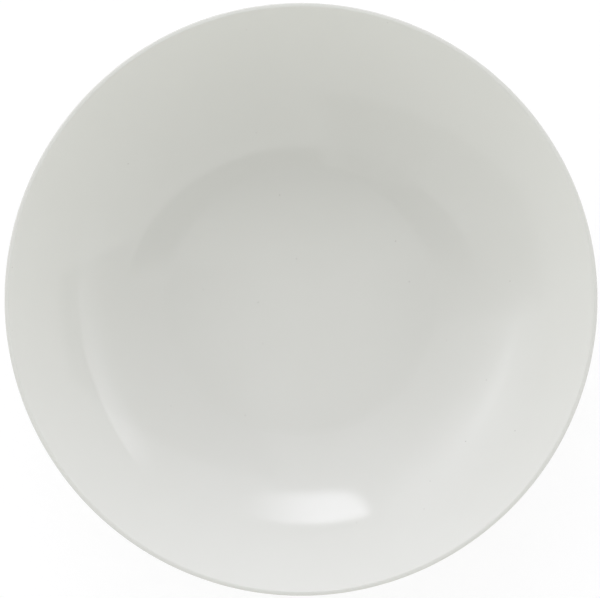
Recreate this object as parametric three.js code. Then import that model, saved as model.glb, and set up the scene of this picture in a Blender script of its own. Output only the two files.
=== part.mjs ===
// A soup bowl of glazed porcelain, turned about +Z, with its foot ring standing on z = 0.
// The porcelain is one fired body. A film of glaze coats it from the foot ring up the outside, over the lip
// and across the eating surface. A second film lies on the base inside the foot ring. The foot ring's
// resting face and the strip on each side of it are bare, because the bowl is fired standing on its foot.
import * as THREE from "three";

const { clamp, degToRad, lerp, mapLinear } = THREE.MathUtils;

// Driving dimensions in millimetres. Diameters of the eating surface are those of the bare porcelain.
const RIM_DIAMETER = 220; // over the glaze
const FLARE_DIAMETER = 190; // where the curved wall eases into the nearly straight flare below the lip
const FLOOR_DIAMETER = 103; // where the dished floor turns up into the wall
const FLOOR_TURN_RUN = 4; // width of the rounded turn at the floor's edge
const BASE_THICKNESS = 5; // porcelain under the floor
const LIP_THICKNESS = 1.5; // porcelain at the lip, which is fully round
const FOOT_DIAMETER = 104; // outside of the foot ring, at the table
const FOOT_WIDTH = 5; // from the outside of the foot ring to its inside, at the table
const FOOT_CLEARANCE = 3.4; // from the table to the middle of the base
const FOOT_FILLET = 3; // where the foot ring grows out of the base
const FOOT_EDGE_RADIUS = 1; // on the two edges of the resting face
const BARE_HEIGHT = 2; // bare strip on the foot ring, above the table
const GLAZE = 0.3; // from the porcelain to the outside of the film
const GLAZE_EDGE = 0.1; // the same at the film's wiped edge
const SEAT_GAP = 0.01; // between the porcelain and the film on it, so that the two solids stay apart

// Angles in degrees: of the eating surface to the table, and of the foot ring's sides to the axis
const FLOOR_EDGE_ANGLE = 9;
const WALL_START_ANGLE = 17;
const FLARE_START_ANGLE = 42.5;
const FLARE_END_ANGLE = 44;
const FOOT_DRAFT_ANGLE = 10;

// Facets
const SEGMENTS = 48; // round the axis
const FLOOR_CHORDS = 3;
const TURN_CHORDS = 2;
const WALL_CHORDS = 7;
const FLARE_CHORDS = 2;
const LIP_CHORDS = 6;
const FILLET_CHORDS = 3;
const EDGE_CHORDS = 2;

const point = (radius, height) => new THREE.Vector2(radius, height);
const gradient = (degrees) => Math.tan(degToRad(degrees));

// The eating surface is given by its gradient at a few radii. Between them the gradient changes evenly,
// so each stretch is a parabola that runs smoothly into the next.
const lipRadius = LIP_THICKNESS / 2;
const lipTilt = degToRad(FLARE_END_ANGLE);
const lipCentreRadius = RIM_DIAMETER / 2 - GLAZE - lipRadius;
const flareEnd = lipCentreRadius - lipRadius * Math.sin(lipTilt);
const stretches = [
  { end: (FLOOR_DIAMETER - FLOOR_TURN_RUN) / 2, angle: FLOOR_EDGE_ANGLE, chords: FLOOR_CHORDS },
  { end: (FLOOR_DIAMETER + FLOOR_TURN_RUN) / 2, angle: WALL_START_ANGLE, chords: TURN_CHORDS },
  { end: FLARE_DIAMETER / 2, angle: FLARE_START_ANGLE, chords: WALL_CHORDS },
  { end: flareEnd, angle: FLARE_END_ANGLE, chords: FLARE_CHORDS },
];

// Points of the eating surface from the axis to the lip, each with the normal that points out of the clay.
function eatingSurface() {
  const level = { at: point(0, FOOT_CLEARANCE + BASE_THICKNESS), normal: point(0, 1) };
  const samples = [level];
  let start = level.at;
  let startGradient = 0;
  for (const { end, angle, chords } of stretches) {
    const endGradient = gradient(angle);
    for (let chord = 1; chord <= chords; chord += 1) {
      const here = lerp(startGradient, endGradient, chord / chords);
      const run = ((end - start.x) * chord) / chords;
      const rise = (run * (startGradient + here)) / 2;
      samples.push({ at: point(start.x + run, start.y + rise), normal: point(-here, 1).normalize() });
    }
    start = samples.at(-1).at;
    startGradient = endGradient;
  }
  return samples;
}

// The same points moved through the clay to its underside. The wall thins from the floor to the lip, slowly
// at first and then faster.
function underside(surface) {
  return surface.map(({ at, normal }) => {
    const outwards = clamp(mapLinear(at.x, FLOOR_DIAMETER / 2, flareEnd, 0, 1), 0, 1);
    const thickness = lerp(BASE_THICKNESS, LIP_THICKNESS, outwards ** 2);
    return at.clone().addScaledVector(normal, -thickness);
  });
}

// Points along an arc, both ends included.
function arc(centre, radius, startAngle, endAngle, chords) {
  return Array.from({ length: chords + 1 }, (_, chord) => {
    const angle = lerp(startAngle, endAngle, chord / chords);
    return point(centre.x + radius * Math.cos(angle), centre.y + radius * Math.sin(angle));
  });
}

// An arc that rounds the corner between two straight sides.
function roundCorner(before, corner, after, radius, chords) {
  const back = before.clone().sub(corner).normalize();
  const ahead = after.clone().sub(corner).normalize();
  const halfAngle = Math.acos(back.dot(ahead)) / 2;
  const middle = back.clone().add(ahead).normalize();
  const centre = corner.clone().addScaledVector(middle, radius / Math.sin(halfAngle));
  const setback = radius / Math.tan(halfAngle);
  const startAngle = corner.clone().addScaledVector(back, setback).sub(centre).angle();
  const endAngle = corner.clone().addScaledVector(ahead, setback).sub(centre).angle();
  const sweep = THREE.MathUtils.euclideanModulo(endAngle - startAngle + Math.PI, 2 * Math.PI) - Math.PI;
  return arc(centre, radius, startAngle, startAngle + sweep, chords);
}

// The corner where a side of the foot ring, leaning outwards by draft, meets the line of the underside.
function footCorner(line, tableRadius, draft) {
  const beyond = (p) => p.x - tableRadius - draft * p.y;
  const last = line.findIndex((p) => beyond(p) > 0);
  const [inner, outer] = [line[last - 1], line[last]];
  return inner.clone().lerp(outer, beyond(inner) / (beyond(inner) - beyond(outer)));
}

// One side of the foot ring: its foot at the table, the end of its glaze and the fillet into the base.
function footSide(line, tableRadius, draft, baseDirection) {
  const atTable = point(tableRadius, 0);
  const glazeEnd = point(tableRadius + draft * BARE_HEIGHT, BARE_HEIGHT);
  const corner = footCorner(line, tableRadius, draft);
  const alongBase = line
    .filter((p) => (p.x - corner.x) * baseDirection > 0)
    .reduce((near, p) => (near.distanceTo(corner) < p.distanceTo(corner) ? near : p));
  const fillet = roundCorner(atTable, corner, alongBase, FOOT_FILLET, FILLET_CHORDS);
  const clearOfFillet = (p) => (p.x - fillet.at(-1).x) * baseDirection > FOOT_EDGE_RADIUS;
  return { atTable, glazeEnd, fillet, base: line.filter(clearOfFillet) };
}

// Moves each point of a line out of the clay. A line is drawn with the clay on its left.
function movedOut(line, distanceAt) {
  return line.map((here, index) => {
    const along = (line[index + 1] ?? here).clone().sub(line[index - 1] ?? here);
    const normal = here.x === 0 ? point(0, -Math.sign(along.x)) : point(along.y, -along.x).normalize();
    return here.clone().addScaledVector(normal, distanceAt(here));
  });
}

// The two faces of a film over a line: the one on the clay and the free one, which thins at its wiped end.
function film(line, wipedEnd) {
  const seat = movedOut(line, () => SEAT_GAP);
  const free = movedOut(line, (here) => (here === wipedEnd ? GLAZE_EDGE : GLAZE));
  return { seat, free };
}

// Turns a profile of radius and height about +Z.
function turned(name, profile, material) {
  const mesh = new THREE.Mesh(new THREE.LatheGeometry(profile, SEGMENTS).rotateX(Math.PI / 2), material);
  mesh.name = name;
  return mesh;
}

// The profile of the clay runs from the axis under the base, round the foot ring, up the outside,
// over the lip and back along the eating surface to the axis.
const surface = eatingSurface();
const underLine = underside(surface);
const draft = gradient(FOOT_DRAFT_ANGLE);
const outside = footSide(underLine, FOOT_DIAMETER / 2, draft, 1);
const inside = footSide(underLine, FOOT_DIAMETER / 2 - FOOT_WIDTH, -draft, -1);
const flareTop = surface.at(-1);
const lipCentre = flareTop.at.clone().addScaledVector(flareTop.normal, -lipRadius);
const lip = arc(lipCentre, lipRadius, lipTilt - Math.PI / 2, lipTilt + Math.PI / 2, LIP_CHORDS);

const wellLine = [...inside.base, ...inside.fillet.toReversed(), inside.glazeEnd];
const bareLine = [
  ...roundCorner(inside.glazeEnd, inside.atTable, outside.atTable, FOOT_EDGE_RADIUS, EDGE_CHORDS),
  ...roundCorner(inside.atTable, outside.atTable, outside.glazeEnd, FOOT_EDGE_RADIUS, EDGE_CHORDS),
];
const eatingLine = surface.slice(0, -1).map(({ at }) => at).toReversed();
const coatLine = [outside.glazeEnd, ...outside.fillet, ...outside.base.slice(0, -1), ...lip, ...eatingLine];

const wellFilm = film(wellLine, inside.glazeEnd);
const coatFilm = film(coatLine, outside.glazeEnd);

const porcelain = new THREE.MeshStandardMaterial({ color: 0xd9d5c8, roughness: 0.8, metalness: 0 });
const glaze = new THREE.MeshStandardMaterial({ color: 0xe2e3dd, roughness: 0.1, metalness: 0 });

const soupBowl = new THREE.Group();
soupBowl.add(
  turned("porcelain_body", [...wellLine, ...bareLine, ...coatLine], porcelain),
  turned("glaze_coat", [...coatFilm.seat.toReversed(), ...coatFilm.free], glaze),
  turned("foot_well_glaze", [...wellFilm.free, ...wellFilm.seat.toReversed()], glaze),
);

export default soupBowl;
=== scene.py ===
# %% [markdown]
# # A soup bowl of glazed porcelain
# A bowl like this is pressed from one lump of clay on a turning mould, fired, dipped in glaze and fired
# again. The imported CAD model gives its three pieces: the porcelain body, the coat of glaze over nearly
# all of it, and the glaze inside the foot ring. Loading that model first fixes the frame, so that every
# size below is in metres and every piece already sits where the CAD says.

# %% The CAD frame
import math

import bmesh
import bpy
import numpy as np
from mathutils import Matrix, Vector
from mathutils.bvhtree import BVHTree


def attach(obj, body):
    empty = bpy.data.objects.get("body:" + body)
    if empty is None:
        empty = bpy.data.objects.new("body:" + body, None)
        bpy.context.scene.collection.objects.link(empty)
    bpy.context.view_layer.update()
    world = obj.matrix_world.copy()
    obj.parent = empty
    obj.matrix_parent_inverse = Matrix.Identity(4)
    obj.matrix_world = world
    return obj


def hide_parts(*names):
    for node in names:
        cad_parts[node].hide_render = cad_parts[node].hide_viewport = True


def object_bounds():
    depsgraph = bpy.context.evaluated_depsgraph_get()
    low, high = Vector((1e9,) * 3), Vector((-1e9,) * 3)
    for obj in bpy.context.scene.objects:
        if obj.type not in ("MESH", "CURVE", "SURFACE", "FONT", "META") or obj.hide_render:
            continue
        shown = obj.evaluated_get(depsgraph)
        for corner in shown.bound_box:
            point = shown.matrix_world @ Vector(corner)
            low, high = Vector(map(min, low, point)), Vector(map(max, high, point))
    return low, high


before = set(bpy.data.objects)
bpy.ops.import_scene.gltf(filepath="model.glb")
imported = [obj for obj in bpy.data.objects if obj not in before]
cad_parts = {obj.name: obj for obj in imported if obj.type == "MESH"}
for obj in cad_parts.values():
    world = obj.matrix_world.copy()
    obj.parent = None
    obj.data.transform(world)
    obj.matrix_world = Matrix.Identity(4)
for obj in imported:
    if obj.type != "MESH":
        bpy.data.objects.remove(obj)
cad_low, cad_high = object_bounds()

scene = bpy.context.scene
MM = 0.001
print("CAD nodes:", ", ".join(sorted(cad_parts)))
print("CAD box in mm:", [round((high - low) / MM, 2) for low, high in zip(cad_low, cad_high)])

# %% [markdown]
# ## The camera
# The photograph looks straight down into the bowl, so the camera hangs over it with no turn at all: a
# Blender camera looks along -Z and has +Y at the top of its picture. It could be orthographic, but a real
# lens about a metre away sees the sloping wall a little more squarely, so this one is in perspective. Its
# focal length is worked out from the width that the rim takes in the picture.

# %% Camera over the bowl
CAMERA_DISTANCE = 1100 * MM  # from the lip to the lens
PICTURE_WIDTH = 600  # pixels
RIM_IN_PICTURE = 296.7  # radius of the rim, in pixels
RIM_OFF_CENTRE = (1.0, -0.3)  # pixels to the right and upwards

rim_radius, lip_height = cad_high.x, cad_high.z
metres_per_pixel = rim_radius / RIM_IN_PICTURE
camera_data = bpy.data.cameras.new("camera_above")
camera_data.sensor_fit = "HORIZONTAL"
camera_data.lens = camera_data.sensor_width * CAMERA_DISTANCE / (PICTURE_WIDTH * metres_per_pixel)
camera = bpy.data.objects.new("camera_above", camera_data)
camera.location = (
    -RIM_OFF_CENTRE[0] * metres_per_pixel,
    -RIM_OFF_CENTRE[1] * metres_per_pixel,
    lip_height + CAMERA_DISTANCE,
)
scene.collection.objects.link(camera)
scene.camera = camera
scene.view_settings.view_transform = "Standard"
print("lens in mm:", round(camera_data.lens, 1))

# %% [markdown]
# ## The eating surface
# Half of the bowl's cross-section is enough, because the rest is that half turned about the axis. A point
# of it is kept as one complex number, radius + height * 1j: moving and turning points is then plain
# arithmetic on whole arrays. The surface could be drawn as a spline, but its gradient is what catches the
# light, so the gradient is given at a few radii, as in the CAD model, and added up into heights. Melted
# glaze softens every bend, so the gradient is averaged over about a millimetre.

# %% Gradient of the eating surface
GLAZE = 0.3 * MM  # thickness of the coat
LIP_TOP = 1.1 * MM  # width of the lip's level top
FLOOR_RADIUS = 51.5 * MM  # middle of the turn from the floor into the wall
FLOOR_TURN = 3 * MM  # width of that turn
FLARE_RADIUS = 95 * MM  # from here to the lip the wall is nearly straight
FLOOR_EDGE_ANGLE = 9  # these four angles are in degrees, measured from level
WALL_START_ANGLE = 17.2
FLARE_START_ANGLE = 42.25
FLARE_END_ANGLE = 44
BEND_SOFTNESS = 0.5 * MM  # to each side of a point
SOFTENING_SAMPLES = 7

flare_end = rim_radius - GLAZE - LIP_TOP
floor_edge = FLOOR_RADIUS - FLOOR_TURN / 2
wall_start = FLOOR_RADIUS + FLOOR_TURN / 2
bend_radii = np.array([0, floor_edge, wall_start, FLARE_RADIUS, flare_end])
bend_angles = [0, FLOOR_EDGE_ANGLE, WALL_START_ANGLE, FLARE_START_ANGLE, FLARE_END_ANGLE]
bend_gradients = np.tan(np.radians(bend_angles))


def softened_gradient(radii):
    """Gradient of the eating surface, averaged over the softness of its bends."""
    shifts = np.linspace(-BEND_SOFTNESS, BEND_SOFTNESS, SOFTENING_SAMPLES)
    return np.mean([np.interp(abs(radii + shift), bend_radii, bend_gradients) for shift in shifts], axis=0)


print("gradient given at radii in mm:", (bend_radii / MM).round(1))

# %% Line of the eating surface
FLOOR_HEIGHT = 8.4 * MM  # top of the clay at the axis
SAMPLE_STEP = 1.6 * MM

surface_radii = np.union1d(np.arange(0, flare_end - SAMPLE_STEP / 2, SAMPLE_STEP), bend_radii)
surface_gradients = softened_gradient(surface_radii)
surface_gradients[0] = 0  # the floor is level at the axis
rises = np.diff(surface_radii) * (surface_gradients[1:] + surface_gradients[:-1]) / 2
surface = surface_radii + 1j * (FLOOR_HEIGHT + np.append(0, np.cumsum(rises)))
depth = (surface[-1] - surface[0]).imag
print("eating surface:", len(surface), "points, depth in mm", round(depth / MM, 2))

# %% [markdown]
# ## The underside and the lip
# The wall is thickest under the floor and thins towards the lip, slowly at first and then faster, as in
# fine ware that is pressed between a mould and a profiled tool. Moving each point along its normal gives
# the underside. The lip is sponged level while the clay is soft, so it has a narrow flat top between
# rounded edges. Each edge could be a row of typed points. Here straight sides meet in a corner, and one
# function rounds any corner, so that the edges follow from their radii.

# %% Helper that rounds a corner
CORNER_POINTS = 8


def unit(step):
    """The same direction with a length of one."""
    return step / abs(step)


def rounded_corner(before, corner, after, radius):
    """Points of the arc that rounds the corner between two straight sides."""
    back, ahead = unit(before - corner), unit(after - corner)
    half_angle = abs(np.angle(back / ahead)) / 2
    centre = corner + unit(back + ahead) * radius / math.sin(half_angle)
    start = corner + back * radius / math.tan(half_angle) - centre
    end = corner + ahead * radius / math.tan(half_angle) - centre
    return centre + start * np.exp(1j * np.linspace(0, np.angle(end / start), CORNER_POINTS))


print("points of a rounded corner:", CORNER_POINTS)

# %% Lines of the underside and the lip
BASE_THICKNESS = 5 * MM
LIP_THICKNESS = 1.5 * MM
LIP_INNER_EDGE = 0.5 * MM  # radii of the lip's rounded edges, here and below
LIP_OUTER_EDGE = 0.25 * MM
LIP_LOWER_EDGE = 0.6 * MM

surface_normals = (-surface_gradients + 1j) / abs(1 + 1j * surface_gradients)
thinning = np.clip((surface_radii - FLOOR_RADIUS) / (flare_end - FLOOR_RADIUS), 0, 1) ** 2
underside = surface - surface_normals * (BASE_THICKNESS + (LIP_THICKNESS - BASE_THICKNESS) * thinning)
lip_inside = surface[-1]
lip_outside = lip_inside + LIP_TOP
lip_below = underside[-1] + (lip_outside - underside[-1]).real * (1 + 1j * surface_gradients[-1])
lip = np.concatenate([
    rounded_corner(underside[-2], lip_below, lip_outside, LIP_LOWER_EDGE),
    rounded_corner(lip_below, lip_outside, lip_inside, LIP_OUTER_EDGE),
    rounded_corner(lip_outside, lip_inside, surface[-2], LIP_INNER_EDGE),
])
print("lip top in mm:", round(lip.imag.max() / MM, 2), "widest radius:", round(lip.real.max() / MM, 2))

# %% [markdown]
# ## The foot ring
# The bowl stands on a low ring with sloping sides, a fillet where each side grows out of the base, and
# softened edges at the table. Its sides lean by ten degrees, as they must to leave the mould. It could be
# a ring of its own, joined to the base, but the real one is formed with the base, so it is drawn into the
# same outline. Each side is a straight line that meets the underside in a corner, and the fillets and
# edges are rounded corners too.

# %% Line of the foot ring
FOOT_RADIUS = 52 * MM  # outside of the ring, at the table
FOOT_WIDTH = 5 * MM
FOOT_DRAFT = math.tan(math.radians(10))
FOOT_FILLET = 3 * MM
FOOT_EDGE = 1 * MM
BARE_HEIGHT = 2 * MM  # the glaze ends here on both sides of the ring


def foot_side(table_radius, draft, base_direction):
    """One side of the ring: its point on the table, the end of its glaze, its fillet and the base."""
    beyond = underside.real - table_radius - draft * underside.imag
    corner = np.interp(0, beyond, underside.real) + 1j * np.interp(0, beyond, underside.imag)
    base_radius = corner.real + base_direction * FOOT_FILLET
    on_base = base_radius + 1j * np.interp(base_radius, underside.real, underside.imag)
    fillet = rounded_corner(table_radius, corner, on_base, FOOT_FILLET)
    base = underside[(underside.real - fillet[-1].real) * base_direction > FOOT_EDGE]
    return table_radius, table_radius + (draft + 1j) * BARE_HEIGHT, fillet, base


outer_foot, outer_glaze_end, outer_fillet, outer_base = foot_side(FOOT_RADIUS, FOOT_DRAFT, 1)
inner_foot, inner_glaze_end, inner_fillet, inner_base = foot_side(FOOT_RADIUS - FOOT_WIDTH, -FOOT_DRAFT, -1)
print("bare strip in mm:", round(abs(outer_glaze_end - inner_glaze_end) / MM, 2), "across")

# %% [markdown]
# ## Three profiles
# The clay's outline runs from the axis under the base, round the foot ring, up the outside, over the lip
# and back to the axis. The two films of glaze follow parts of it. A Solidify modifier could make them, but
# their thickness changes along the line: it thins where the glaze was wiped off the foot. So a film is the
# same line twice, once on the clay and once moved out by the thickness of the glaze.

# %% Helper for a film of glaze
GLAZE_EDGE = 0.1 * MM  # thickness at the wiped edge
SEAT_GAP = 0.01 * MM  # keeps the film clear of the clay, as in the CAD model
WIPED_RUN = 0.8 * MM  # how soon the film gains its full thickness


def moved_out(line, distance):
    """The line moved away from the clay, which is on its left."""
    along = np.gradient(line)
    moved = line - 1j * unit(along) * distance
    return np.where(line.real == 0, 1j * moved.imag, moved)


def film(line, wiped_end):
    """The two faces of the glaze over a line: the one on the clay and the free one."""
    thickness = GLAZE - (GLAZE - GLAZE_EDGE) * np.exp(-abs(line - wiped_end) / WIPED_RUN)
    return moved_out(line, SEAT_GAP), moved_out(line, thickness)


print("film in mm:", round(GLAZE / MM, 2), "thick and", round(GLAZE_EDGE / MM, 2), "at its wiped edge")

# %% Profiles of the body and the glaze
FOOT_STOPS = 6  # steps from the wiped edge to the fillet


def with_stops(start, end, count):
    """Evenly spaced points from start up to, but without, end."""
    return start + (end - start) * np.arange(count) / count


well_line = np.concatenate([
    inner_base,
    inner_fillet[::-1],
    with_stops(inner_fillet[0], inner_glaze_end, FOOT_STOPS)[1:],
    [inner_glaze_end],
])
bare_line = np.concatenate([
    rounded_corner(inner_glaze_end, inner_foot, outer_foot, FOOT_EDGE),
    rounded_corner(inner_foot, outer_foot, outer_glaze_end, FOOT_EDGE),
])
coat_line = np.concatenate([
    with_stops(outer_glaze_end, outer_fillet[0], FOOT_STOPS),
    outer_fillet,
    outer_base[:-1],
    lip,
    surface[-2::-1],
])
body_profile = np.concatenate([well_line, bare_line, coat_line])
coat_seat, coat_free = film(coat_line, outer_glaze_end)
coat_profile = np.concatenate([coat_seat[::-1], coat_free])
well_seat, well_free = film(well_line, inner_glaze_end)
well_profile = np.concatenate([well_free, well_seat[::-1]])
print("points: body", len(body_profile), "coat", len(coat_profile), "foot well", len(well_profile))

# %% [markdown]
# ## A helper for node trees
# Geometry and shaders are both trees of nodes. One small function adds a node, sets its options and fills
# its inputs with values or links, so that each tree below reads as a recipe.

# %% Node helper


def node(tree, kind, inputs=None, **options):
    """Adds a node with its options and fills its inputs with values or with links to other sockets."""
    made = tree.nodes.new(kind)
    for option, value in options.items():
        setattr(made, option, value)
    for socket, value in (inputs or {}).items():
        if isinstance(value, bpy.types.NodeSocket):
            tree.links.new(value, made.inputs[socket])
        else:
            made.inputs[socket].default_value = value
    return made


def calculate(tree, operation, *values):
    """A Math node's result."""
    return node(tree, "ShaderNodeMath", dict(enumerate(values)), operation=operation).outputs[0]


print("node helpers ready")

# %% [markdown]
# ## The potter's wheel
# A turned shape repeats one profile round an axis. The Spin tool and the Screw modifier do that too, but a
# Geometry Nodes tree keeps the rule in sight: a grid has one column for each step of the turn and one row
# for each point of the profile. Every grid point looks up its profile point by its row, and is turned by
# its column. Merging the points that meet closes the seam and the poles.

# %% Geometry Nodes tree of the wheel: its inputs
wheel = bpy.data.node_groups.new("potters_wheel", "GeometryNodeTree")
wheel.interface.new_socket("Profile", in_out="INPUT", socket_type="NodeSocketGeometry")
facets_socket = wheel.interface.new_socket("Facets", in_out="INPUT", socket_type="NodeSocketInt")
weld_socket = wheel.interface.new_socket("Weld distance", in_out="INPUT", socket_type="NodeSocketFloat")
finish_socket = wheel.interface.new_socket("Finish", in_out="INPUT", socket_type="NodeSocketMaterial")
wheel.interface.new_socket("Turned piece", in_out="OUTPUT", socket_type="NodeSocketGeometry")
given = node(wheel, "NodeGroupInput").outputs
print("inputs of the wheel:", ", ".join(socket.name for socket in given if socket.name))

# %% Where each point of the grid goes
point_count = node(
    wheel, "GeometryNodeAttributeDomainSize", {"Geometry": given["Profile"]}, component="MESH"
).outputs["Point Count"]
columns = calculate(wheel, "ADD", given["Facets"], 1)
grid = node(wheel, "GeometryNodeMeshGrid", {"Vertices X": columns, "Vertices Y": point_count})
index = node(wheel, "GeometryNodeInputIndex").outputs["Index"]
row = calculate(wheel, "MODULO", index, point_count)
column = calculate(wheel, "FLOOR", calculate(wheel, "DIVIDE", index, point_count))
profile_point = node(
    wheel,
    "GeometryNodeSampleIndex",
    {
        "Geometry": given["Profile"],
        "Value": node(wheel, "GeometryNodeInputPosition").outputs["Position"],
        "Index": row,
    },
    data_type="FLOAT_VECTOR",
    domain="POINT",
).outputs["Value"]
turn = calculate(wheel, "MULTIPLY", calculate(wheel, "DIVIDE", column, given["Facets"]), 2 * math.pi)
turned_point = node(
    wheel, "ShaderNodeVectorRotate", {"Vector": profile_point, "Angle": turn}, rotation_type="Z_AXIS"
).outputs["Vector"]
print("nodes so far:", len(wheel.nodes))

# %% The turned mesh and its finish
placed = node(
    wheel,
    "GeometryNodeSetPosition",
    {"Geometry": grid.outputs["Mesh"], "Position": turned_point},
)
merged = node(
    wheel,
    "GeometryNodeMergeByDistance",
    {"Geometry": placed.outputs["Geometry"], "Distance": given["Weld distance"]},
)
smooth = node(
    wheel,
    "GeometryNodeSetShadeSmooth",
    {"Geometry": merged.outputs["Geometry"], "Shade Smooth": True},
)
realized = node(wheel, "GeometryNodeRealizeInstances", {"Geometry": smooth.outputs["Geometry"]})
finished = node(
    wheel,
    "GeometryNodeSetMaterial",
    {"Geometry": realized.outputs["Geometry"], "Material": given["Finish"]},
)
node(wheel, "NodeGroupOutput", {"Turned piece": finished.outputs["Geometry"]})
print("potter's wheel:", len(wheel.nodes), "nodes")

# %% [markdown]
# ## Effects that both finishes share
# Fired clay is never perfectly even. Its tone drifts slowly across a piece, and a few dark specks from the
# kiln sit in it. Both effects could be painted as pictures. As shader groups they need no picture, and each
# finish places them with its own scale. Specks come from a 3-D Voronoi pattern: only the cell centres that
# happen to lie close to the surface show, so the specks are few and differ in size.

# %% Shader group of the tone drift


def shader_group(name, inputs, output):
    """A new shader group with named number inputs and one number output."""
    tree = bpy.data.node_groups.new(name, "ShaderNodeTree")
    for label in inputs:
        tree.interface.new_socket(label, in_out="INPUT", socket_type="NodeSocketFloat")
    tree.interface.new_socket(output, in_out="OUTPUT", socket_type="NodeSocketFloat")
    return tree, node(tree, "NodeGroupInput").outputs


drift_group, given = shader_group("fired_tone_drift", ["Patches per metre", "Detail"], "Drift")
place = node(drift_group, "ShaderNodeTexCoord").outputs["Object"]
noise = node(
    drift_group,
    "ShaderNodeTexNoise",
    {"Vector": place, "Scale": given["Patches per metre"], "Detail": given["Detail"]},
)
node(drift_group, "NodeGroupOutput", {"Drift": noise.outputs["Fac"]})
print(drift_group.name, "has", len(drift_group.nodes), "nodes")

# %% Shader group of the kiln specks
speck_group, given = shader_group("kiln_specks", ["Cells per metre", "Radius"], "Speck")
place = node(speck_group, "ShaderNodeTexCoord").outputs["Object"]
cells = node(speck_group, "ShaderNodeTexVoronoi", {"Vector": place, "Scale": given["Cells per metre"]})
reach = calculate(speck_group, "MULTIPLY", given["Radius"], given["Cells per metre"])
speck = node(
    speck_group,
    "ShaderNodeMapRange",
    {"Value": cells.outputs["Distance"], "From Min": reach, "From Max": 0, "To Min": 0, "To Max": 1},
    interpolation_type="SMOOTHSTEP",
)
node(speck_group, "NodeGroupOutput", {"Speck": speck.outputs["Result"]})
print(speck_group.name, "has", len(speck_group.nodes), "nodes")

# %% Helpers that use an effect in a material


def effect(tree, group, output, **inputs):
    """Places a shader group in a material and returns one of its outputs."""
    values = {label.replace("_", " "): value for label, value in inputs.items()}
    placed_group = node(tree, "ShaderNodeGroup", node_tree=group)
    for label, value in values.items():
        placed_group.inputs[label].default_value = value
    return placed_group.outputs[output]


def between(tree, factor, low, high):
    """A number between two others."""
    span = {"Value": factor, "To Min": low, "To Max": high}
    return node(tree, "ShaderNodeMapRange", span).outputs["Result"]


def blend(tree, factor, first, second):
    """A colour between two others. A Mix node's colours are its inputs 6 and 7 and its output 2."""
    return node(
        tree,
        "ShaderNodeMix",
        {"Factor": factor, 6: first, 7: second},
        data_type="RGBA",
    ).outputs[2]


print("effects ready:", drift_group.name, "and", speck_group.name)

# %% [markdown]
# ## The glaze
# The glaze is a clear glass over white clay, with a faint warm, green-grey cast. It could be a flat white
# with a high gloss, but then it looks like plastic. Real glaze pools and thins a little, so its tone
# drifts, its gloss changes slightly, long soft waves bend its reflections, and a few specks and pinholes
# dot it.

# %% Glaze material
GLAZE_COLOUR = (0.755, 0.761, 0.707, 1)
POOLED_COLOUR = (0.735, 0.741, 0.684, 1)
SPECK_COLOUR = (0.42, 0.40, 0.36, 1)
GLAZE_IOR = 1.5
GLAZE_ROUGHNESS = (0.02, 0.05)
WAVE_HEIGHT = 0.05 * MM
PINHOLE_SHARE = 0.4  # depth of a pinhole as a share of the waves' height

glaze = bpy.data.materials.new("white_gloss_glaze")
glaze.use_nodes = True
tree = glaze.node_tree
drift = effect(tree, drift_group, "Drift", Patches_per_metre=28, Detail=2)
specks = effect(tree, speck_group, "Speck", Cells_per_metre=95, Radius=0.32 * MM)
tone = blend(tree, drift, GLAZE_COLOUR, POOLED_COLOUR)
gloss = between(tree, drift, *GLAZE_ROUGHNESS)
waves = effect(tree, drift_group, "Drift", Patches_per_metre=45, Detail=0)
pinholes = calculate(tree, "MULTIPLY", specks, -PINHOLE_SHARE)
height = calculate(tree, "ADD", waves, pinholes)
ripple = node(tree, "ShaderNodeBump", {"Height": height, "Strength": 1, "Distance": WAVE_HEIGHT})
principled = tree.nodes["Principled BSDF"]
principled.inputs["IOR"].default_value = GLAZE_IOR
tree.links.new(blend(tree, specks, tone, SPECK_COLOUR), principled.inputs["Base Color"])
tree.links.new(gloss, principled.inputs["Roughness"])
tree.links.new(ripple.outputs["Normal"], principled.inputs["Normal"])
print("glaze:", len(tree.nodes), "nodes")

# %% [markdown]
# ## The bare porcelain
# The bowl is fired standing on its foot, so the ring's face is wiped clean of glaze and ground smooth. It
# is matt, a little warmer than the glazed clay, with fine grain and faint rings from the grinding. The
# rings could be modelled, but they are too fine for that, so a noise that follows the distance from the
# axis draws them. That distance is worked out from Object coordinates.

# %% Bare porcelain material
CLAY_COLOUR = (0.69, 0.66, 0.58, 1)
WORN_COLOUR = (0.60, 0.57, 0.50, 1)
CLAY_ROUGHNESS = (0.68, 0.92)
RINGS_PER_METRE = 3000
GRAIN_HEIGHT = 0.03 * MM
GRAIN_STRENGTH = 0.6

porcelain = bpy.data.materials.new("bare_porcelain")
porcelain.use_nodes = True
tree = porcelain.node_tree
drift = effect(tree, drift_group, "Drift", Patches_per_metre=220, Detail=4)
grain = effect(tree, drift_group, "Drift", Patches_per_metre=4500, Detail=2)
specks = effect(tree, speck_group, "Speck", Cells_per_metre=260, Radius=0.25 * MM)
place = node(tree, "ShaderNodeTexCoord").outputs["Object"]
axes = node(tree, "ShaderNodeSeparateXYZ", {"Vector": place}).outputs
from_axis = calculate(
    tree,
    "SQRT",
    calculate(tree, "ADD", calculate(tree, "POWER", axes["X"], 2), calculate(tree, "POWER", axes["Y"], 2)),
)
rings = node(
    tree,
    "ShaderNodeTexNoise",
    {"W": from_axis, "Scale": RINGS_PER_METRE, "Detail": 2},
    noise_dimensions="1D",
).outputs["Fac"]
ground = calculate(tree, "MULTIPLY", calculate(tree, "ADD", drift, rings), 0.5)
tone = blend(tree, ground, CLAY_COLOUR, WORN_COLOUR)
rough = between(tree, ground, *CLAY_ROUGHNESS)
height = calculate(tree, "ADD", grain, rings)
bump = node(
    tree,
    "ShaderNodeBump",
    {"Height": height, "Strength": GRAIN_STRENGTH, "Distance": GRAIN_HEIGHT},
)
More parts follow.
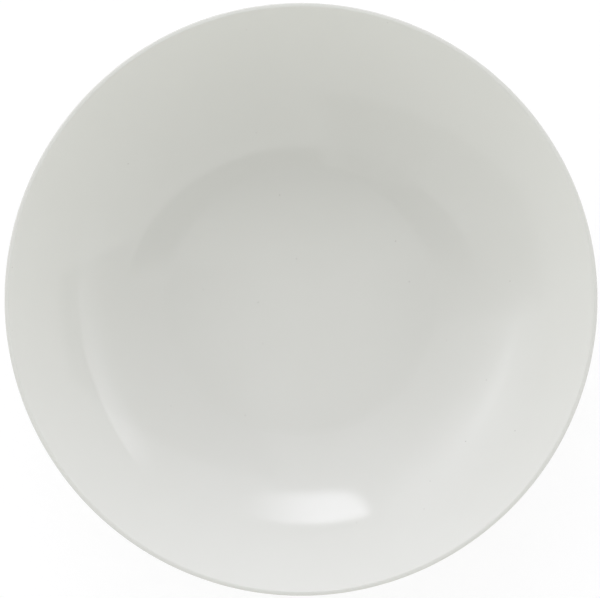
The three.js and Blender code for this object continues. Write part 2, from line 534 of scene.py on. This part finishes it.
principled = tree.nodes["Principled BSDF"]
tree.links.new(blend(tree, specks, tone, SPECK_COLOUR), principled.inputs["Base Color"])
tree.links.new(rough, principled.inputs["Roughness"])
tree.links.new(bump.outputs["Normal"], principled.inputs["Normal"])
print("bare porcelain:", len(tree.nodes), "nodes")

# %% [markdown]
# ## The three pieces
# Each profile becomes a mesh of loose points, the wheel turns it, and the result is kept as a plain mesh
# with its normals facing outwards. Each piece stands for one CAD node and rides on the bowl's only body.

# %% Helper that turns a piece
FACETS = 256  # round the axis
WELD_DISTANCE = 0.001 * MM


def turned_piece(name, profile, material):
    """Turns a profile on the wheel and returns the finished object."""
    loose = bpy.data.meshes.new(name + "_profile")
    loose.from_pydata([(point.real, 0, point.imag) for point in profile], [], [])
    piece = bpy.data.objects.new(name, loose)
    scene.collection.objects.link(piece)
    modifier = piece.modifiers.new("wheel", "NODES")
    modifier.node_group = wheel
    modifier[facets_socket.identifier] = FACETS
    modifier[weld_socket.identifier] = WELD_DISTANCE
    modifier[finish_socket.identifier] = material
    evaluated = piece.evaluated_get(bpy.context.evaluated_depsgraph_get())
    mesh = bpy.data.meshes.new_from_object(evaluated)
    piece.modifiers.remove(modifier)
    piece.data = mesh
    mesh.name = name
    bpy.data.meshes.remove(loose)
    shell = bmesh.new()
    shell.from_mesh(mesh)
    bmesh.ops.recalc_face_normals(shell, faces=shell.faces)
    shell.to_mesh(mesh)
    shell.free()
    return piece


print("facets of a turned piece:", FACETS)

# %% Turned pieces


def furthest_from(piece, node_name):
    """Largest distance from a point of the piece to the CAD node that it stands for."""
    node_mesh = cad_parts[node_name].data
    corners = [vertex.co for vertex in node_mesh.vertices]
    cad_faces = BVHTree.FromPolygons(corners, [face.vertices for face in node_mesh.polygons])
    return max(cad_faces.find_nearest(vertex.co)[3] for vertex in piece.data.vertices)


for node_name, profile, material, slot in (
    ("porcelain_body", body_profile, porcelain, "porcelain"),
    ("glaze_coat", coat_profile, glaze, "glaze"),
    ("foot_well_glaze", well_profile, glaze, "glaze"),
):
    piece = turned_piece("turned_" + node_name, profile, material)
    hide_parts(node_name)
    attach(piece, "root")
    triangles = sum(len(polygon.vertices) - 2 for polygon in piece.data.polygons)
    distance = furthest_from(piece, node_name)
    print(piece.name, triangles, "triangles, at most", round(distance / MM, 3), "mm from the CAD")

# %% [markdown]
# ## The floor and the room
# The bowl stands on white paper in a white room. Lighting paper until it is pure white would burn out the
# bowl, so the lamps stay at a plain level, and the floor and the room show themselves to the camera, and in
# reflections, a little lighter than they light the bowl. The floor still takes the bowl's shadow. The room
# sends the most light from the back and the least from the left.

# %% Paper material
WHITE = (1, 1, 1, 1)
PAPER_COLOUR = (0.8, 0.8, 0.79, 1)  # as it lights the bowl
SHADED_PAPER = (0.23, 0.23, 0.23, 1)  # as it is seen, the part that takes the shadow
PAPER_GLOW = 0.81  # and the part that does not


def seen_directly(tree):
    """One for rays from the camera, a reflection or a clear material, and zero for light on a surface."""
    rays = node(tree, "ShaderNodeLightPath").outputs
    mirrored = calculate(tree, "MAXIMUM", rays["Is Glossy Ray"], rays["Is Transmission Ray"])
    return calculate(tree, "MAXIMUM", rays["Is Camera Ray"], mirrored)


paper = bpy.data.materials.new("white_paper")
paper.use_nodes = True
tree = paper.node_tree
tree.nodes.remove(tree.nodes["Principled BSDF"])
lit_paper = node(tree, "ShaderNodeBsdfDiffuse", {"Color": PAPER_COLOUR})
dim_paper = node(tree, "ShaderNodeBsdfDiffuse", {"Color": SHADED_PAPER})
glow = node(tree, "ShaderNodeEmission", {"Color": WHITE, "Strength": PAPER_GLOW})
shown_paper = node(tree, "ShaderNodeAddShader", {0: dim_paper.outputs[0], 1: glow.outputs[0]})
chosen = node(
    tree,
    "ShaderNodeMixShader",
    {0: seen_directly(tree), 1: lit_paper.outputs[0], 2: shown_paper.outputs[0]},
)
tree.links.new(chosen.outputs[0], tree.nodes["Material Output"].inputs["Surface"])
print("paper:", len(tree.nodes), "nodes")

# %% Paper floor
FLOOR_SIZE = 8.0  # metres


def flat_sheet(name, low, high, height, material):
    """A flat rectangle of the studio, which is not part of the bowl."""
    mesh = bpy.data.meshes.new(name)
    corners = [(low[0], low[1]), (high[0], low[1]), (high[0], high[1]), (low[0], high[1])]
    mesh.from_pydata([(x, y, height) for x, y in corners], [], [(0, 1, 2, 3)])
    mesh.materials.append(material)
    sheet = bpy.data.objects.new(name, mesh)
    scene.collection.objects.link(sheet)
    return sheet


half = FLOOR_SIZE / 2
flat_sheet("paper_floor", (-half, -half), (half, half), 0, paper)
print("paper floor:", FLOOR_SIZE, "m wide")

# %% White room
ROOM_LEVEL = 0.81  # straight overhead
BACK_LEVEL = 0.58  # added towards the horizon on that side, as are the next three
FRONT_LEVEL = 0.37
RIGHT_LEVEL = 0.34
LEFT_LEVEL = 0.28
BACK_TINT = (1, 0.992, 1.085, 1)  # the light from the back is a little cooler

room = bpy.data.worlds.new("white_room")
scene.world = room
room.use_nodes = True
tree = room.node_tree
sky_point = node(tree, "ShaderNodeTexCoord").outputs["Generated"]
direction = node(tree, "ShaderNodeSeparateXYZ", {"Vector": sky_point}).outputs
backwards = calculate(tree, "MAXIMUM", direction["Y"], 0)
level = ROOM_LEVEL
for part, side_level in (
    (backwards, BACK_LEVEL),
    (calculate(tree, "MINIMUM", direction["Y"], 0), -FRONT_LEVEL),
    (calculate(tree, "MAXIMUM", direction["X"], 0), RIGHT_LEVEL),
    (calculate(tree, "MINIMUM", direction["X"], 0), -LEFT_LEVEL),
):
    level = calculate(tree, "MULTIPLY_ADD", part, side_level, level)
shown = node(tree, "ShaderNodeMix", {"Factor": seen_directly(tree), "A": level, "B": 1.0}).outputs["Result"]
background = tree.nodes["Background"]
tree.links.new(blend(tree, backwards, WHITE, BACK_TINT), background.inputs["Color"])
tree.links.new(shown, background.inputs["Strength"])
print("room level:", ROOM_LEVEL, "overhead,", round(ROOM_LEVEL + BACK_LEVEL, 2), "at the back")

# %% [markdown]
# ## The lamps and the dark gauze
# The photograph tells where its lamps stood, because the wall of the bowl mirrors them: a soft box low at
# the back, a broad weak one at the back left, and a low strip on each side. A plain area lamp is evenly
# bright up to a hard edge, and its mirror image would be a hard-edged tile. A real soft box fades towards
# its edges, so each lamp has a small tree of nodes that dims it there. Three gauzes hang over the bowl: a
# dark one in front leaves the darker patch that the far side of the floor mirrors, and thin ones dim both
# sides.

# %% Helpers for soft edges


def into_fade(tree, place, start, end):
    """How far a place is into a fade: 0 up to its start and 1 at its end."""
    span = {"Value": place, "From Min": start, "From Max": end}
    return node(tree, "ShaderNodeMapRange", span).outputs["Result"]


def soft_patch(tree, fades, core=0):
    """A level that goes from 1 to 0 between the core and the end of its fades, with round corners."""
    square = 0
    for fade in fades:
        square = calculate(tree, "MULTIPLY_ADD", fade, fade, square)
    return node(
        tree,
        "ShaderNodeMapRange",
        {"Value": calculate(tree, "SQRT", square), "From Min": 1, "From Max": core},
        interpolation_type="SMOOTHSTEP",
    ).outputs["Result"]


print("soft edges ready")

# %% A lamp with soft edges
LAMP_DISTANCE = 3.0  # metres


def soft_box(
    name, azimuth, width, elevations, radiance, side_fade, foot_fade, top_fade, core=0, dim_share=0
):
    """A lamp that faces the bowl, in degrees as seen from it. Azimuth runs anticlockwise from +X.

    It turns dark over shares of its width at both sides, and of its height at its foot and its top. The
    sides and the top stay bright over the core, a share of their fades. The dim share of its width, from
    its right end, is dimmed as well.
    """
    low, high = elevations
    lamp_data = bpy.data.lights.new(name, "AREA")
    lamp_data.shape = "RECTANGLE"
    lamp_data.size = 2 * LAMP_DISTANCE * math.tan(math.radians(width) / 2)
    lamp_data.size_y = 2 * LAMP_DISTANCE * math.tan(math.radians(high - low) / 2)
    lamp_data.energy = radiance * math.pi * lamp_data.size * lamp_data.size_y
    lamp_data.color = BACK_TINT[:3]
    lamp_data.use_nodes = True
    tree = lamp_data.node_tree
    on_lamp = node(tree, "ShaderNodeNewGeometry").outputs["Parametric"]
    place = node(tree, "ShaderNodeSeparateXYZ", {"Vector": on_lamp}).outputs
    outline = soft_patch(tree, [
        into_fade(tree, place["X"], side_fade, 0),
        into_fade(tree, place["X"], 1 - side_fade, 1),
        into_fade(tree, place["Y"], 1 - top_fade, 1),
    ], core)
    dim_fades = [into_fade(tree, place["Y"], foot_fade, 0)]
    if dim_share:
        dim_fades.append(into_fade(tree, place["X"], dim_share, 0))
    strength = calculate(tree, "MULTIPLY", outline, soft_patch(tree, dim_fades))
    tree.links.new(strength, tree.nodes["Emission"].inputs["Strength"])
    lamp = bpy.data.objects.new(name, lamp_data)
    turn, rise = math.radians(azimuth), math.radians((low + high) / 2)
    out = Vector((math.cos(rise) * math.cos(turn), math.cos(rise) * math.sin(turn), math.sin(rise)))
    lamp.location = out * LAMP_DISTANCE
    lamp.rotation_euler = out.to_track_quat("Z", "Y").to_euler()
    lamp.visible_camera = False
    scene.collection.objects.link(lamp)


print("lamps stand", LAMP_DISTANCE, "m from the bowl")

# %% Four soft boxes
soft_box(
    "key_soft_box",
    azimuth=90.2,
    width=36.4,
    elevations=(19, 35.2),
    radiance=3.4,
    side_fade=0.3,
    foot_fade=0.2,
    top_fade=0.9,
    core=0.6,
    dim_share=0.7,
)
soft_box(
    "broad_soft_box",
    azimuth=149,
    width=86,
    elevations=(9, 41),
    radiance=0.88,
    side_fade=0.5,
    foot_fade=0.45,
    top_fade=0.55,
)
soft_box(
    "left_soft_box",
    azimuth=155,
    width=50,
    elevations=(22, 30),
    radiance=0.55,
    side_fade=0.4,
    foot_fade=0.05,
    top_fade=0.8,
)
soft_box(
    "right_soft_box",
    azimuth=9,
    width=79,
    elevations=(21.2, 33),
    radiance=1.2,
    side_fade=0.2,
    foot_fade=0.05,
    top_fade=0.9,
    dim_share=0.9,
)

# %% A dark gauze over the bowl
GAUZE_HEIGHT = 2.0  # metres above the floor
THREAD_COLOUR = (0.01, 0.01, 0.01, 1)


def hung_gauze(name, low, high, darkness, side_fade, front_fade, back_fade, core=0):
    """A flat gauze between two corners, in metres, which turns clear over the given widths at its edges.

    Its front corners are round, and its front and sides stay dense over the core, a share of their fades.
    """
    gauze = bpy.data.materials.new(name)
    gauze.use_nodes = True
    tree = gauze.node_tree
    tree.nodes.remove(tree.nodes["Principled BSDF"])
    on_gauze = node(tree, "ShaderNodeTexCoord").outputs["Object"]
    place = node(tree, "ShaderNodeSeparateXYZ", {"Vector": on_gauze}).outputs
    outline = soft_patch(tree, [
        into_fade(tree, place["X"], low[0] + side_fade, low[0]),
        into_fade(tree, place["X"], high[0] - side_fade, high[0]),
        into_fade(tree, place["Y"], low[1] + front_fade, low[1]),
    ], core)
    clearing = soft_patch(tree, [into_fade(tree, place["Y"], high[1] - back_fade, high[1])])
    weave = calculate(tree, "MULTIPLY", calculate(tree, "MULTIPLY", outline, clearing), darkness)
    clear = node(tree, "ShaderNodeBsdfTransparent")
    threads = node(tree, "ShaderNodeBsdfDiffuse", {"Color": THREAD_COLOUR})
    cloth = node(tree, "ShaderNodeMixShader", {0: weave, 1: clear.outputs[0], 2: threads.outputs[0]})
    tree.links.new(cloth.outputs[0], tree.nodes["Material Output"].inputs["Surface"])
    sheet = flat_sheet(name, low, high, GAUZE_HEIGHT, gauze)
    sheet.visible_camera = False
    print(name, [round(size, 2) for size in sheet.dimensions[:2]], "m")


print("gauzes hang", GAUZE_HEIGHT, "m above the floor")

# %% Three gauzes
hung_gauze(
    "front_gauze",
    low=(-2.57, -1.64),
    high=(2.43, -0.13),
    darkness=0.81,
    side_fade=2.5,
    front_fade=1.51,
    back_fade=0.41,
    core=0.9,
)
hung_gauze(
    "right_gauze",
    low=(0.07, -0.88),
    high=(8.0, 2.74),
    darkness=0.43,
    side_fade=0.4,
    front_fade=0.1,
    back_fade=0.4,
)
hung_gauze(
    "left_gauze",
    low=(-8.0, -4.1),
    high=(-0.17, 0.41),
    darkness=0.38,
    side_fade=0.4,
    front_fade=0.1,
    back_fade=0.4,
)
